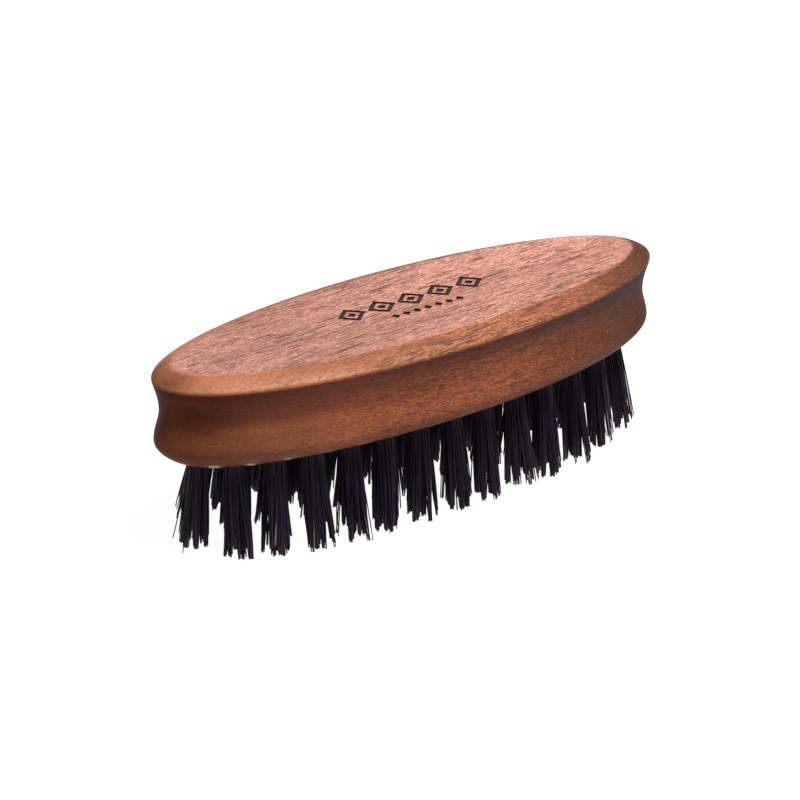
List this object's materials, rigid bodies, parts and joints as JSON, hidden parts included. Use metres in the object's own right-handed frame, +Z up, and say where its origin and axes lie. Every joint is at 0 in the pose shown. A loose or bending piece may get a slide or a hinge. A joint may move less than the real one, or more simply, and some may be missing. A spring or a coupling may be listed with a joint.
{
  "type": "beard brush",
  "caption": "Palm-sized oval beard brush: one-piece wooden body with a finger groove all round and tufts of dark bristle set in its flat underside.",
  "frame": {"origin": "centre of the oval, on the plane of the trimmed bristle tips that the brush stands on", "axes": "+X along the body, +Y across it, +Z up from the bristle tips to the flat top of the wood"},
  "size_m": [0.11, 0.036, 0.0371],
  "materials": {
    "wood": "satin",
    "bristle": "semi-gloss natural bristle",
    "anchor_metal": "plain drawn flat wire"
  },
  "bodies": {
    "root": {"handle_body": "wood", "tuft_ring_01": "bristle", "tuft_ring_02": "bristle", "tuft_ring_03": "bristle", "tuft_ring_04": "bristle", "tuft_ring_05": "bristle", "tuft_ring_06": "bristle", "tuft_ring_07": "bristle", "tuft_ring_08": "bristle", "tuft_ring_09": "bristle", "tuft_ring_10": "bristle", "tuft_ring_11": "bristle", "tuft_ring_12": "bristle", "tuft_ring_13": "bristle", "tuft_ring_14": "bristle", "tuft_ring_15": "bristle", "tuft_ring_16": "bristle", "tuft_ring_17": "bristle", "tuft_ring_18": "bristle", "tuft_ring_19": "bristle", "tuft_ring_20": "bristle", "tuft_ring_21": "bristle", "tuft_ring_22": "bristle", "tuft_ring_23": "bristle", "tuft_ring_24": "bristle", "tuft_ring_25": "bristle", "tuft_ring_26": "bristle", "tuft_ring_27": "bristle", "tuft_inner_01": "bristle", "tuft_inner_02": "bristle", "tuft_inner_03": "bristle", "tuft_inner_04": "bristle", "tuft_inner_05": "bristle", "tuft_inner_06": "bristle", "tuft_inner_07": "bristle", "tuft_inner_08": "bristle", "tuft_inner_09": "bristle", "tuft_inner_10": "bristle", "tuft_inner_11": "bristle", "tuft_inner_12": "bristle", "tuft_inner_13": "bristle", "tuft_inner_14": "bristle", "tuft_inner_15": "bristle", "tuft_inner_16": "bristle", "tuft_inner_17": "bristle", "tuft_inner_18": "bristle", "anchor_01": "anchor_metal", "anchor_02": "anchor_metal", "anchor_03": "anchor_metal", "anchor_04": "anchor_metal", "anchor_05": "anchor_metal", "anchor_06": "anchor_metal", "anchor_07": "anchor_metal", "anchor_08": "anchor_metal", "anchor_09": "anchor_metal", "anchor_10": "anchor_metal", "anchor_11": "anchor_metal", "anchor_12": "anchor_metal", "anchor_13": "anchor_metal", "anchor_14": "anchor_metal"}
  },
  "joints": []
}
